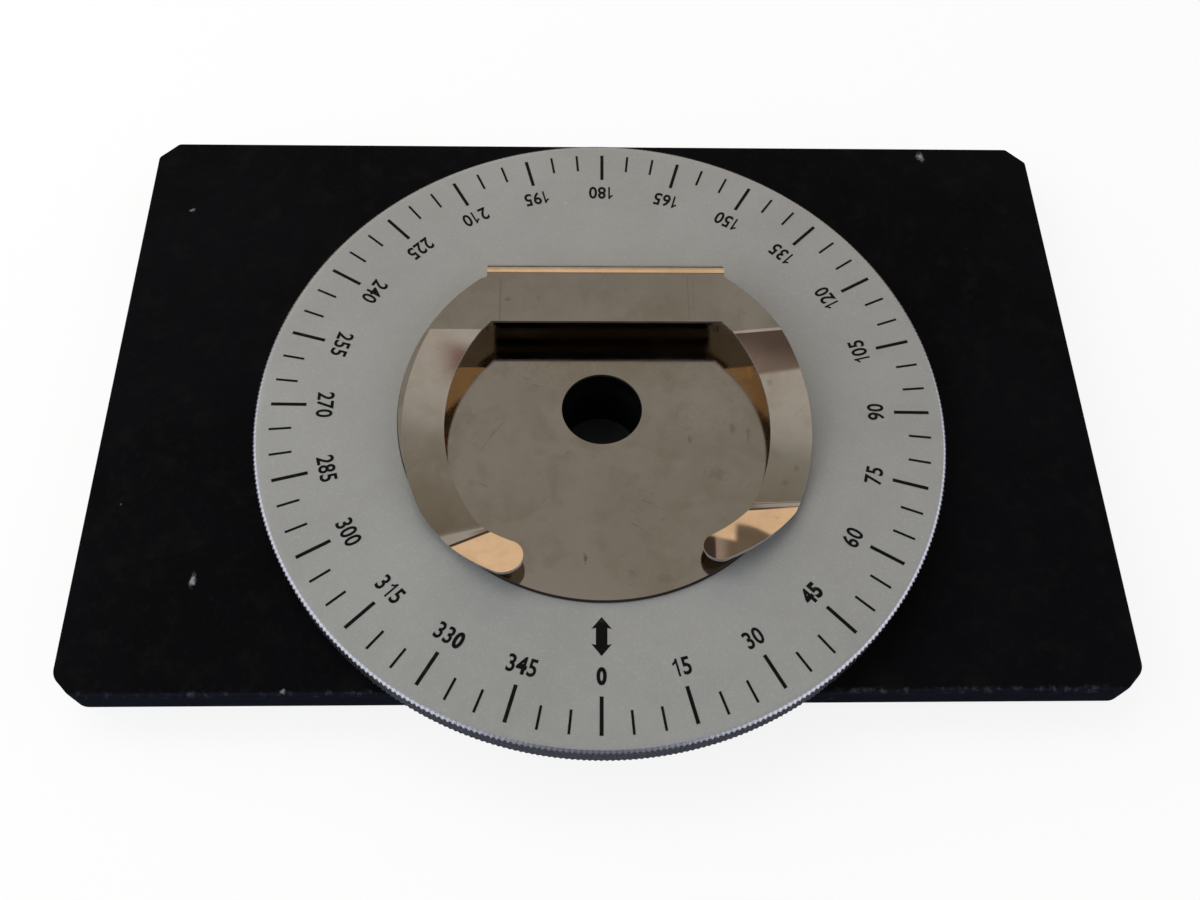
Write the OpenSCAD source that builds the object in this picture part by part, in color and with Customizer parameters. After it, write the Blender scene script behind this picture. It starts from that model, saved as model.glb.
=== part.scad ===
// Rotating specimen stage for a microscope. A black plate carries a graduated dial that
// turns on a hub, and a folded spring clip on the dial holds a glass slide over the hole
// that light comes up through.
// Millimetres, +Z up, -Y to the front. The origin is on the dial's axis, level with the
// plate's underside.

/* [Base plate] */
// Width of the plate, left to right
plate_w = 120; // [100:1:160]
// Depth of the plate, front to back
plate_d = 78; // [72:1:110]
// Thickness of the plate
plate_t = 4; // [3.2:0.1:8]
// Distance from the dial's axis to the plate's back edge
plate_back = 44.6; // [38:0.1:50]
// Length of the cut across each front corner, along the edges
front_clip = 2.4; // [2:0.1:8]
// Length of the cut across each back corner, along the edges
back_clip = 2.4; // [2:0.1:8]
// Radius that eases the ends of each front corner cut
front_ease = 2; // [0.2:0.1:2.2]
// Radius that eases the ends of each back corner cut
back_ease = 0.8; // [0.2:0.1:2.2]

/* [Dial] */
// Diameter of the dial over its knurl
dial_d = 81.8; // [78:0.2:86]
// Thickness of the dial
dial_t = 4; // [3.2:0.1:8]
// Gap between the plate and the dial
dial_gap = 0.3; // [0.1:0.05:0.8]
// Number of teeth round the knurled rim
knurl_teeth = 420; // [60:10:480]
// Depth of the knurl
knurl_depth = 0.1; // [0.1:0.05:0.3]
// Height of the plain bevel above the knurl
rim_top = 0.3; // [0.1:0.05:0.6]
// Height of the plain bevel below the knurl
rim_foot = 0.9; // [0.3:0.1:1.4]
// Width of the upper bevel, seen from above
rim_ease = 0.15; // [0.1:0.05:0.5]
// Width of the lower bevel, seen from below
foot_ease = 0.5; // [0.2:0.1:0.8]

/* [Hub and bearing] */
// Diameter of the hole that light comes up through
light_d = 9.5; // [6:0.1:11]
// Diameter of the hub's sleeve
sleeve_d = 19.9; // [18.5:0.1:24]
// How deep the sleeve enters the dial
sleeve_seat = 1.5; // [0.5:0.1:2]
// Running clearance between sleeve and bush, on the radius
bush_clear = 0.05; // [0.02:0.01:0.1]
// Wall of the bearing bush
bush_wall = 2; // [1:0.1:3]
// Diameter of the flange that centres the stage from below
flange_d = 32; // [31:0.5:40]
// How far the flange stands below the plate
flange_drop = 2.6; // [1:0.1:5]
// Bevel round the flange's lower edge
flange_bevel = 0.5; // [0.2:0.1:0.8]
// How far the flange enters the plate
flange_in = 0.2; // [0.1:0.05:0.5]
// Clearance round the flange and the washers in the plate
pocket_clear = 0.8; // [0.3:0.1:1.5]
// Thickness of the slip washer under the plate
slip_t = 0.4; // [0.2:0.05:0.6]
// How much smaller the slip washer is than the flange, on the radius
slip_inset = 0.8; // [0.3:0.1:1.5]
// Clearance of the slip washer round the sleeve, beyond the bush's own
slip_clear = 0.3; // [0.1:0.05:0.6]
// Thickness of the disc spring
spring_t = 0.4; // [0.2:0.05:0.5]
// Height of the disc spring's cone, without its thickness
spring_rise = 0.4; // [0.2:0.05:0.5]
// How much smaller the disc spring is than the flange, on the radius
spring_inset = 1.2; // [0.6:0.1:2]
// Clearance of the disc spring round the sleeve
spring_clear = 0.45; // [0.2:0.05:0.8]
// Outer diameter of the low-friction ring under the dial
glide_d = 60; // [50:1:66]
// Width of the low-friction ring
glide_w = 8; // [4:0.5:12]
// Thickness of the low-friction ring
glide_t = 0.8; // [0.6:0.05:1.2]

/* [Hub screws] */
// Number of screws that hold the dial to the hub
screw_count = 3; // [3:1:6]
// Diameter of a screw's thread
screw_d = 2.5; // [1.6:0.1:3]
// Diameter of a countersunk head
head_d = 4.7; // [3.5:0.1:5]
// Length of a screw with its head
screw_len = 7; // [4:0.5:7.5]
// Width across the flats of the hexagon socket
socket_af = 1.5; // [0.9:0.1:2]
// Depth of the hexagon socket
socket_depth = 1.1; // [0.6:0.1:1.5]

/* [Spring clip] */
// Thickness of the clip's sheet
sheet_t = 0.4; // [0.25:0.05:0.6]
// Radius of the clip's lower disc
disc_r = 24; // [23:0.1:28]
// Thickness of the adhesive film under the disc
bond_t = 0.1; // [0.05:0.05:0.2]
// How far the adhesive stops short of the sheet's edges
bond_inset = 0.4; // [0.2:0.1:1]
// Height of the slot between the disc and the folded leaf
slot_h = 4.1; // [3.5:0.05:5]
// Distance from the axis back to the line where the fold starts
fold_y = 16; // [14:0.1:18]
// Length of the fold to the left of the axis
fold_left = 13.8; // [10:0.1:15]
// Length of the fold to the right of the axis
fold_right = 15; // [10:0.1:16]
// Width of the relief notch at each end of the fold
notch_w = 0.8; // [0.4:0.1:1.5]

/* [Clip leaf] */
// Outer radius of the leaf behind its arms
leaf_r = 23.5; // [22.5:0.1:26]
// Width of the leaf's arms
arm_w = 4.7; // [4:0.1:7]
// How far the leaf's centre lies to the right of the axis
leaf_right = 0.6; // [0:0.1:1.5]
// How far the leaf's centre lies in front of the axis
leaf_front = 3; // [1.5:0.1:5]
// How far the arms bow out to the front of the leaf's circle
arm_bow = 0.6; // [0:0.05:1]
// How far the window lies in front of the leaf's circle
window_bow = 0.8; // [0.4:0.05:1.2]
// Distance from the axis back to the bar's inner edge
bar_y = 9.05; // [8.8:0.05:11]
// Distance from the axis back to the crease where the arms bend down
crease_y = 7.9; // [7:0.1:8.7]
// Gap between the pressed-down arms and the disc, at rest
rest_gap = 0.1; // [0.05:0.01:0.2]
// Angle at which the tips turn up
tip_rise = 17; // [8:1:30]
// Angle from the front where the outer edges start to narrow towards the tips
narrow_out = 62; // [56:1:66]
// Angle from the front where the left tip's inner edge starts to narrow
narrow_left = 50; // [46:1:54]
// Angle from the front where the right tip's inner edge starts to narrow
narrow_right = 57; // [50:1:60]
// Radius of the left tip's rounded end
left_r = 2.15; // [1.8:0.05:2.4]
// Radius of the right tip's rounded end
right_r = 1.8; // [1.5:0.05:2.2]
// Distance from the leaf's centre to the middle of the left tip's end
left_mid = 20.6; // [19.8:0.1:21]
// Distance from the leaf's centre to the middle of the right tip's end
right_mid = 20; // [19.5:0.1:21]
// Angle from the front to the end of the left tip
tip_left = 34.3; // [30:0.1:38]
// Angle from the front to the end of the right tip
tip_right = 37.1; // [32:0.1:42]
// Distance in front of the axis of the left tip's crease, at the outer edge
kink_left = 18.5; // [16:0.1:19]
// Slant of the left tip's crease
kink_slant = 25; // [10:1:30]
// Distance in front of the axis of the right tip's crease
kink_right = 13.3; // [12:0.1:16]

/* [Hidden] */
$fn = 96;
eps = 0.01;
far = 200;

// Levels, from the plate's underside up
pocket_z = flange_in + spring_rise + spring_t + slip_t;
dial_z = plate_t + dial_gap;
dial_top = dial_z + dial_t;
disc_z = dial_top + bond_t;
disc_top = disc_z + sheet_t;
leaf_z = disc_top + slot_h;
leaf_top = leaf_z + sheet_t;
kink_z = disc_top + rest_gap;

// Radii that follow from the fits
bore_r = light_d / 2;
sleeve_r = sleeve_d / 2;
bush_r = sleeve_r + bush_clear;
seat_r = bush_r + bush_wall;
flange_r = flange_d / 2;
pocket_r = flange_r + pocket_clear;
glide_r = glide_d / 2;
glide_sink = glide_t - dial_gap;
screw_ring = (bore_r + sleeve_r) / 2;
head_h = (head_d - screw_d) / 2;
fold_r = slot_h / 2 + sheet_t;

// Points of a polygon whose corners are eased by arcs, each with its own radius
function unit(v) = v / norm(v);
function eased(pts, radii, steps = 6) = [
    for (i = [0 : len(pts) - 1])
        let (
            p = pts[i],
            r = radii[i],
            a = unit(pts[(i + len(pts) - 1) % len(pts)] - p),
            b = unit(pts[(i + 1) % len(pts)] - p),
            half = acos(a * b) / 2,
            c = p + unit(a + b) * r / sin(half),
            t0 = p + a * r / tan(half) - c,
            t1 = p + b * r / tan(half) - c
        )
        for (k = [0 : steps]) c + r * unit(t0 + (t1 - t0) * k / steps)
];

// Point at a radius and an angle from the front, positive to the right
function front_point(r, angle) = [
    leaf_right + r * sin(angle),
    -leaf_front - r * cos(angle)
];

module tube(outer, inner, z0, z1) {
    translate([0, 0, z0]) difference() {
        cylinder(r = outer, h = z1 - z0);
        translate([0, 0, -eps]) cylinder(r = inner, h = z1 - z0 + 2 * eps);
    }
}

module plate_outline() {
    left = -plate_w / 2;
    right = plate_w / 2;
    front = plate_back - plate_d;
    f = front_ease;
    b = back_ease;
    polygon(eased([
        [left + front_clip, front],
        [right - front_clip, front],
        [right, front + front_clip],
        [right, plate_back - back_clip],
        [right - back_clip, plate_back],
        [left + back_clip, plate_back],
        [left, plate_back - back_clip],
        [left, front + front_clip]
    ], [f, f, f, b, b, b, b, f]));
}

module base_plate() {
    color([0.05, 0.05, 0.055]) difference() {
        linear_extrude(plate_t) plate_outline();
        // Seat of the bush
        translate([0, 0, -eps]) cylinder(r = seat_r, h = plate_t + 2 * eps);
        // Pocket for the flange and the washers
        translate([0, 0, -eps]) cylinder(r = pocket_r, h = pocket_z + eps);
        // Groove for the low-friction ring
        tube(glide_r, glide_r - glide_w, plate_t - glide_sink, plate_t + eps);
    }
}

module bearing_bush() {
    color([0.88, 0.87, 0.82]) tube(seat_r, bush_r, pocket_z, plate_t);
}

module glide_ring() {
    color([0.93, 0.93, 0.9]) tube(glide_r, glide_r - glide_w, plate_t - glide_sink, dial_z);
}

module slip_washer() {
    color([0.93, 0.93, 0.9])
        tube(flange_r - slip_inset, bush_r + slip_clear, pocket_z - slip_t, pocket_z);
}

// A coned washer that stands on the flange with its outer edge
module disc_spring() {
    inner = sleeve_r + spring_clear;
    outer = flange_r - spring_inset;
    color([0.55, 0.56, 0.58]) translate([0, 0, flange_in]) rotate_extrude()
        polygon([
            [outer, 0],
            [outer, spring_t],
            [inner, spring_t + spring_rise],
            [inner, spring_rise]
        ]);
}

module at_screws() {
    for (i = [0 : screw_count - 1])
        rotate([0, 0, 90 + i * 360 / screw_count]) translate([screw_ring, 0, dial_top])
            children();
}

// A countersunk screw hanging from the dial's face
module screw_body() {
    translate([0, 0, -screw_len]) cylinder(d = screw_d, h = screw_len);
    translate([0, 0, -head_h]) cylinder(d1 = screw_d, d2 = head_d, h = head_h);
}

module hub() {
    sleeve_top = dial_z + sleeve_seat;
    color([0.1, 0.1, 0.11]) difference() {
        rotate_extrude() polygon([
            [bore_r, -flange_drop],
            [flange_r - flange_bevel, -flange_drop],
            [flange_r, flange_bevel - flange_drop],
            [flange_r, flange_in],
            [sleeve_r, flange_in],
            [sleeve_r, sleeve_top],
            [bore_r, sleeve_top]
        ]);
        at_screws() translate([0, 0, -screw_len]) cylinder(d = screw_d, h = screw_len);
    }
}

module hub_screws() {
    color([0.3, 0.3, 0.32]) at_screws() difference() {
        screw_body();
        translate([0, 0, -socket_depth])
            cylinder(d = socket_af / cos(30), h = socket_depth + eps, $fn = 6);
    }
}

// Straight knurl: one tooth is a crest between two roots
module knurl_outline() {
    crest = dial_d / 2;
    step = 360 / knurl_teeth;
    polygon([
        for (i = [0 : knurl_teeth - 1], half = [0, 1])
            let (
                a = (i + half / 2) * step,
                r = crest - half * knurl_depth
            )
            [r * cos(a), r * sin(a)]
    ]);
}

module dial() {
    root = dial_d / 2 - knurl_depth - eps;
    color([0.62, 0.62, 0.61]) difference() {
        union() {
            translate([0, 0, dial_z + rim_foot])
                linear_extrude(dial_t - rim_foot - rim_top) knurl_outline();
            rotate_extrude() polygon([
                [0, dial_z],
                [root - foot_ease, dial_z],
                [root, dial_z + rim_foot],
                [root, dial_top - rim_top],
                [root - rim_ease, dial_top],
                [0, dial_top]
            ]);
        }
        translate([0, 0, dial_z - eps]) cylinder(r = bore_r, h = dial_t + 2 * eps);
        translate([0, 0, dial_z - eps]) cylinder(r = sleeve_r, h = sleeve_seat + eps);
        at_screws() screw_body();
    }
}

module clip_bond() {
    color([0.75, 0.72, 0.6]) translate([0, 0, dial_top]) linear_extrude(bond_t) difference() {
        disc_outline(disc_r - bond_inset, bond_inset);
        circle(bore_r + bond_inset);
    }
}

// The lower disc stops at the fold, between the two relief notches
module disc_outline(r, inset = 0) {
    difference() {
        circle(r);
        translate([-fold_left - notch_w - inset, fold_y - inset])
            square([fold_left + fold_right + 2 * (notch_w + inset), far]);
    }
}

module clip_base() {
    color([0.72, 0.68, 0.62]) {
        translate([0, 0, disc_z]) linear_extrude(sheet_t) difference() {
            disc_outline(disc_r);
            circle(bore_r);
        }
        // Half-round fold
        translate([-fold_left, fold_y, disc_z + fold_r]) rotate([0, 90, 0])
            linear_extrude(fold_left + fold_right) intersection() {
                difference() {
                    circle(fold_r);
                    circle(fold_r - sheet_t);
                }
                translate([-far / 2, 0]) square([far, far]);
            }
    }
}

// Distance from the leaf's centre, at an angle from the front, to a circle of radius r
// whose centre lies a bow in front of the leaf's
function bowed(r, bow, angle) =
    let (along = bow * cos(angle)) along + sqrt(r ^ 2 - bow ^ 2 + along ^ 2);
function outer_at(angle) = bowed(leaf_r + arm_bow / 4, arm_bow, angle);
function inner_at(angle) = bowed(leaf_r - arm_w, window_bow, angle);

// Radius that changes evenly with the angle, from one end of a tip to the other
function between(r0, r1, t) = r0 + (r1 - r0) * t;

// A tip narrows evenly from the arm's width to its rounded end, and roots inside the arm.
// side is 1 on the right and -1 on the left, and inner_from is where its inner edge starts
module tip_outline(side, angle, mid, r, inner_from) {
    steps = 12;
    end_r = r - 2 * eps;
    outer = [
        for (i = [0 : steps])
            front_point(
                between(outer_at(narrow_out) - 2 * eps, mid + end_r, i / steps),
                side * between(narrow_out, angle, i / steps)
            )
    ];
    inner = [
        for (i = [0 : steps])
            front_point(
                between(mid - end_r, inner_at(inner_from) + 2 * eps, i / steps),
                side * between(angle, inner_from, i / steps)
            )
    ];
    root = [
        front_point(inner_at(narrow_out) + 2 * eps, side * narrow_out),
        front_point(leaf_r - arm_w / 2, side * (narrow_out + 3))
    ];
    edge = concat(outer, inner, root);
    last = len(edge) - 1;
    translate(front_point(mid, side * angle)) circle(r);
    polygon(side > 0 ? [for (i = [0 : last]) edge[last - i]] : edge);
}

module leaf_outline() {
    window_r = leaf_r - arm_w;
    reach = 2 * leaf_r;
    difference() {
        union() {
            translate(front_point(0, 0)) circle(leaf_r);
            translate(front_point(arm_bow, 0)) circle(leaf_r + arm_bow / 4);
            translate([-fold_left, bar_y]) square([fold_left + fold_right, fold_y - bar_y]);
        }
        // Behind the fold line
        translate([-far / 2, fold_y]) square([far, far]);
        // Window of the C, flat along the bar
        intersection() {
            translate(front_point(window_bow, 0)) circle(window_r);
            translate([-far / 2, bar_y - far]) square([far, far]);
        }
        // Mouth between the tips
        polygon([
            front_point(0, 0),
            front_point(reach, -narrow_out),
            front_point(reach, 0),
            front_point(reach, narrow_out)
        ]);
    }
    tip_outline(-1, tip_left, left_mid, left_r, narrow_left);
    tip_outline(1, tip_right, right_mid, right_r, narrow_right);
}

// A flat stretch of sheet that runs forward from its back edge, which is the X axis
module strip(x0, x1, run, below) {
    translate([x0, -run, below ? -sheet_t : 0]) cube([x1 - x0, run, sheet_t]);
}

// An arm slopes down from the crease and ends at the line where its tip turns up
module arm(x0, x1, kink_y) {
    slope = atan((leaf_z - kink_z) / (crease_y + kink_y));
    translate([0, crease_y, leaf_top]) rotate([slope, 0, 0]) strip(x0, x1, far, true);
}

module clip_leaf() {
    // Outer end of the left crease, and the rise of the arm's slope along that crease
    kink_x = leaf_right - sqrt((leaf_r + arm_bow / 4) ^ 2 - (kink_left - leaf_front - arm_bow) ^ 2);
    left_slope = atan((leaf_z - kink_z) / (crease_y + kink_left));
    left_tilt = atan(tan(left_slope) * sin(kink_slant));
    color([0.72, 0.68, 0.62]) intersection() {
        translate([0, 0, disc_z]) linear_extrude(far) leaf_outline();
        union() {
            translate([0, fold_y, leaf_z]) strip(-far, far, fold_y - crease_y, false);
            // Left arm, cut along its slanted crease
            intersection() {
                arm(-far, leaf_right, kink_left);
                translate([kink_x, -kink_left, 0]) rotate([0, 0, kink_slant])
                    translate([-far, 0, -far]) cube(2 * far);
            }
            translate([kink_x, -kink_left, kink_z]) rotate([0, 0, kink_slant])
                rotate([0, -left_tilt, 0]) rotate([-tip_rise, 0, 0])
                    strip(-leaf_r, leaf_r / 2, leaf_r, false);
            // Right arm and tip
            intersection() {
                arm(leaf_right, far, kink_right);
                translate([-far, -kink_right, -far]) cube(2 * far);
            }
            translate([0, -kink_right, kink_z]) rotate([-tip_rise, 0, 0])
                strip(leaf_right, far, leaf_r, false);
        }
    }
}

base_plate();
bearing_bush();
glide_ring();
slip_washer();
disc_spring();
hub();
hub_screws();
dial();
clip_bond();
clip_base();
clip_leaf();
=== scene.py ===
"""Rotating specimen stage: a black plate, a graduated dial with a knurled rim and a folded spring clip.

Lengths are in millimetres, from the dial's axis and the plate's underside, and become
metres as each piece is finished. The scales of patterns are per metre.
"""

import math
from collections import namedtuple

import bmesh
import bpy
from mathutils import Matrix, Vector


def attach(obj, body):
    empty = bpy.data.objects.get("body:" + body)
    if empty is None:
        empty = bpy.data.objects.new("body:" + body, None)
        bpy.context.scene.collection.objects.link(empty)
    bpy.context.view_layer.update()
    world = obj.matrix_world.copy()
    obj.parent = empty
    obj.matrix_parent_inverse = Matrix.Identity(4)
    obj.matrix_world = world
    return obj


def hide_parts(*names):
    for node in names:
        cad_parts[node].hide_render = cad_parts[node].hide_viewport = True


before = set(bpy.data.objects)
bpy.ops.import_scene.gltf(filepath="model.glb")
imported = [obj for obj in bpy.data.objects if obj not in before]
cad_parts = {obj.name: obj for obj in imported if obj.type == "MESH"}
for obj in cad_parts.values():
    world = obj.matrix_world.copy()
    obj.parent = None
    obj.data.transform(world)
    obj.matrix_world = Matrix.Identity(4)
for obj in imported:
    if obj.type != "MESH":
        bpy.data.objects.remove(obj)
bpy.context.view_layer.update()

MM = 0.001
# The hub's foot, on which the stage stands
FLOOR_Z = -2.6

# Levels of the stack, from the plate's top to the leaf
PLATE_TOP = 4.0
DIAL_FOOT = 4.3
DIAL_TOP = 8.3
DISC_FOOT = 8.4
BAR_MID = 13.1
SHEET = 0.4

# Plate: its front face, the width of its eased edges, and a radius that holds its recess
PLATE_FRONT = -33.0
PLATE_EASE = 0.22
RECESS_R = 33.0

# Dial
RIM_CREST = 40.9
RIM_ROOT = 40.82
BEVEL_R = 40.52
TEETH = 420
HUB_BORE = 4.75
SLEEVE = 9.95
HUB_POCKET = 1.5
# The bright bevel cut round the dial's top: radius, and depth below the top
RIM_BEVEL = [(40.45, 0.0), (40.51, 0.02), (40.6, 0.07), (40.7, 0.135), (40.8, 0.21), (RIM_CREST, 0.3)]

# Clip
DISC_R = 24.0
DISC_AHEAD = 0.35
DISC_EASE = 0.05
FOLD_Y = 16.0
FOLD_LEFT = -13.8
FOLD_RIGHT = 15.0
FOLD_MID_R = 2.25
FOLD_ROWS = 64
NOTCH = 0.8
LEAF_AT = Vector((0.6, -3.0))
LEAF_R = 23.5
WINDOW_R = 18.8
ARM_BOW = 0.6
WINDOW_BOW = 0.8
ARM_MID_R = 20.6
BAR_Y = 9.05

# Rounded ends of the leaf's arms: degrees from the front, distance of their middle from the
# leaf's centre, radius, and degrees from the front where the arm's inner edge narrows
Tip = namedtuple("Tip", "turn mid radius narrow")
LEFT_TIP = Tip(34.3, 20.6, 2.15, 50.0)
RIGHT_TIP = Tip(37.1, 20.0, 1.8, 57.0)
# Degrees from the front where the arms' outer edges narrow
ARM_NARROW = 62.0


def ahead_of(turn):
    """Way to the front across a bend that is turned by some degrees."""
    return Vector((math.sin(math.radians(turn)), -math.cos(math.radians(turn))))


# Bends of the leaf, from its bar to a tip. Each has a point on it, the way ahead across it,
# the change of slope there, and half the width that the change takes
Bend = namedtuple("Bend", "at across change soft")
RIGHT_BENDS = [
    Bend(Vector((15.88, 7.87)), ahead_of(6.1), -0.169, 0.16),
    Bend(Vector((15.88, 7.41)), ahead_of(6.1), -0.0197, 0.04),
    Bend(Vector((16.8, -12.98)), ahead_of(2.5), 0.0855, 0.02),
    Bend(Vector((16.76, -13.74)), ahead_of(3.75), 0.4085, 0.15),
]
LEFT_BENDS = [
    Bend(Vector((0, 8.01)), ahead_of(0), -0.135, 0.12),
    Bend(Vector((0, 7.55)), ahead_of(0), -0.0165, 0.04),
    Bend(Vector((-17.84, -16.88)), ahead_of(11.5), 0.0737, 0.32),
    Bend(Vector((-16.72, -18.11)), ahead_of(21.95), 0.3737, 0.18),
]

# Printed scale, turned a little on the dial: the print's thickness, and its middle's height
SCALE_TURN = -0.83
INK = 0.02
INK_Z = DIAL_TOP + 0.015
TICK_OUTER = 39.05
# Inner end and width of the ticks at the numbers, and of the others
LONG_TICK = (34.9, 0.41)
SHORT_TICK = (36.45, 0.28)
# Numbers: distance from the axis, height, step from figure to figure, and narrowing
NUMBER_R = 32.7
NUMBER_TALL = 2.0
NUMBER_STEP = 1.17
NUMBER_NARROW = 0.82
ARROW_R = 28.3
# How much bolder the figures print than their outline, and which ones print heavier: the
# number's angle, and the figure's place in it
LIGHT_FIGURE = 0.02
HEAVY_FIGURE = 0.045
HEAVY_FIGURES = {(0, 0), (330, 2), (345, 1), (45, 0), (45, 1)}

# Edges that turn more than this are sharp ones
SHARP = math.radians(60)
# Distance within which two points of a mesh are one
SAME = 0.0005


# Node helpers


def node_tree(owner):
    """Empties an owner's node tree and returns it."""
    owner.use_nodes = True
    tree = owner.node_tree
    tree.nodes.clear()
    return tree


def set_input(socket, value):
    """Links an output to a socket, or sets the socket's own value."""
    if isinstance(value, bpy.types.NodeSocket):
        socket.id_data.links.new(value, socket)
    else:
        socket.default_value = value


def add(tree, kind, **settings):
    """A node of a kind, with its properties set, and its inputs set by name or linked."""
    node = tree.nodes.new(kind)
    inputs = settings.pop("inputs", {})
    for name, value in settings.items():
        setattr(node, name, value)
    for name, value in inputs.items():
        set_input(node.inputs[name], value)
    return node


def node_on(kind, inputs, **settings):
    """A node that some outputs feed, in the tree that they come from."""
    tree = next(value.id_data for value in inputs.values() if isinstance(value, bpy.types.NodeSocket))
    return add(tree, kind, inputs=inputs, **settings)


def math_node(operation, *values, clamp=False):
    """The result of a sum on one to three values."""
    inputs = dict(enumerate(values))
    return node_on("ShaderNodeMath", inputs, operation=operation, use_clamp=clamp).outputs[0]


def times(a, b):
    """The product of two values."""
    return math_node("MULTIPLY", a, b)


def minus(a, b):
    """The first value less the second."""
    return math_node("SUBTRACT", a, b)


def plus(a, b):
    """The sum of two values."""
    return math_node("ADD", a, b)


def size_of(value):
    """A value without its sign."""
    return math_node("ABSOLUTE", value)


def vector_math(operation, *vectors):
    """The result of a sum on vectors."""
    node = node_on("ShaderNodeVectorMath", dict(enumerate(vectors)), operation=operation)
    return node.outputs["Value" if operation in ("LENGTH", "DOT_PRODUCT") else "Vector"]


def axes(vector):
    """The X, Y and Z of a vector."""
    return node_on("ShaderNodeSeparateXYZ", {"Vector": vector}).outputs[:]


def step(value, low, high):
    """A soft step from 0 at low to 1 at high. It falls where low is the greater."""
    limits = {"Value": value, "From Min": low, "From Max": high}
    node = node_on("ShaderNodeMapRange", limits, interpolation_type="SMOOTHSTEP", clamp=True)
    return node.outputs["Result"]


def band(value, low, high):
    """A soft step between two places in millimetres."""
    return step(value, low * MM, high * MM)


def mix_value(mask, below, above):
    """A value that goes from one to another as a mask goes from 0 to 1."""
    limits = {"Value": mask, "To Min": below, "To Max": above}
    return node_on("ShaderNodeMapRange", limits, clamp=True).outputs["Result"]


def mix(mask, below, above):
    """A colour that goes from one to another as a mask goes from 0 to 1."""
    node = add(mask.id_data, "ShaderNodeMix", data_type="RGBA", clamp_factor=True)
    for index, item in ((0, mask), (6, below), (7, above)):
        set_input(node.inputs[index], (*item, 1.0) if isinstance(item, tuple) else item)
    return node.outputs[2]


def layer(base, mask, share, colour):
    """Lays a colour over another where a mask is, at a share of the mask's strength."""
    return mix(times(mask, share), base, colour)


def place(tree):
    """The place on the piece, in metres."""
    return add(tree, "ShaderNodeTexCoord").outputs["Object"]


def stretched(vector, scale, turn=0.0):
    """The place on the piece, turned about Z by some degrees and stretched."""
    inputs = {"Vector": vector, "Rotation": (0.0, 0.0, math.radians(turn)), "Scale": scale}
    return node_on("ShaderNodeMapping", inputs).outputs["Vector"]


def noise(vector, scale, detail=2.0, roughness=0.5, distortion=0.0):
    """A cloudy value round 0.5."""
    shape = {"Scale": scale, "Detail": detail, "Roughness": roughness, "Distortion": distortion}
    return node_on("ShaderNodeTexNoise", {"Vector": vector, **shape}).outputs["Fac"]


def cells_of(vector, scale):
    """Three random values for each cell of a pattern, and the distance from the cell's middle."""
    cells = node_on("ShaderNodeTexVoronoi", {"Vector": vector, "Scale": scale}).outputs
    return (*node_on("ShaderNodeSeparateColor", {"Color": cells["Color"]}).outputs, cells["Distance"])


def group(name, inputs, outputs):
    """A new node group, the outputs of its start and the inputs of its end."""
    tree = bpy.data.node_groups.new(name, "ShaderNodeTree")
    tree.interface.new_socket("Place", in_out="INPUT", socket_type="NodeSocketVector")
    for label, default in inputs.items():
        socket = tree.interface.new_socket(label, in_out="INPUT", socket_type="NodeSocketFloat")
        socket.default_value = default
    for label in outputs:
        tree.interface.new_socket(label, in_out="OUTPUT", socket_type="NodeSocketFloat")
    start = tree.nodes.new("NodeGroupInput")
    end = tree.nodes.new("NodeGroupOutput")
    return tree, start.outputs, end.inputs


def use(shared, **inputs):
    """The outputs of a shared node group that is placed in a material with its own values."""
    return node_on("ShaderNodeGroup", inputs, node_tree=shared).outputs


def build_dust():
    """Small specks of dust, some round and some long."""
    tree, start, end = group("settled_dust", {"Grain": 400.0, "Amount": 0.5}, ["Mask"])
    swirl = noise(start["Place"], 90.0)
    jitter = vector_math("MULTIPLY_ADD", swirl, (0.002, 0.002, 0.002), start["Place"])
    pick, size, _, distance = cells_of(jitter, start["Grain"])
    chance = minus(1.0, times(start["Amount"], 0.05))
    chosen = math_node("GREATER_THAN", pick, chance)
    reach = mix_value(size, 0.06, 0.22)
    set_input(end["Mask"], times(step(distance, reach, 0.0), chosen))
    return tree


def build_smudge():
    """Soft handling marks: broad cloudy patches with finer streaks in them."""
    tree, start, end = group("handling_smudges", {"Spread": 60.0, "Sharpness": 0.15}, ["Mask"])
    broad = noise(start["Place"], start["Spread"], 4.0, 0.55, 0.6)
    fine = noise(start["Place"], times(start["Spread"], 7.0), 3.0, 0.6)
    both = plus(times(broad, 0.75), times(fine, 0.25))
    low = minus(0.5, start["Sharpness"])
    high = plus(0.5, start["Sharpness"])
    set_input(end["Mask"], step(both, low, high))
    return tree


def build_blast():
    """The grain left by bead blasting: a height of fine pits, and a mask of the bright ones."""
    tree, start, end = group("blasted_grain", {"Grain": 3000.0}, ["Height", "Sparkle"])
    pits = noise(start["Place"], start["Grain"], 3.0, 0.65)
    coarse = noise(start["Place"], times(start["Grain"], 0.35))
    set_input(end["Height"], plus(pits, times(coarse, 0.6)))
    _, _, pick, _ = cells_of(start["Place"], times(start["Grain"], 0.8))
    set_input(end["Sparkle"], step(pick, 0.86, 0.97))
    return tree


DUST = build_dust()
SMUDGE = build_smudge()
BLAST = build_blast()


# Finishes


def finish_of(name, metallic=0.0, specular=0.5):
    """A new material, its tree and its Principled shader."""
    material = bpy.data.materials.new(name)
    tree = node_tree(material)
    plain = {"Metallic": metallic, "Specular IOR Level": specular}
    shader = add(tree, "ShaderNodeBsdfPrincipled", inputs=plain)
    add(tree, "ShaderNodeOutputMaterial", inputs={"Surface": shader.outputs[0]})
    return material, tree, shader


def wire(shader, base, rough, height=None, depth=0.0, strength=0.5):
    """Links a finish's colour, roughness and fine relief to its shader."""
    set_input(shader.inputs["Base Color"], base)
    set_input(shader.inputs["Roughness"], rough)
    if height is not None:
        relief = node_on("ShaderNodeBump", {"Height": height, "Distance": depth, "Strength": strength})
        set_input(shader.inputs["Normal"], relief.outputs["Normal"])


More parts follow.
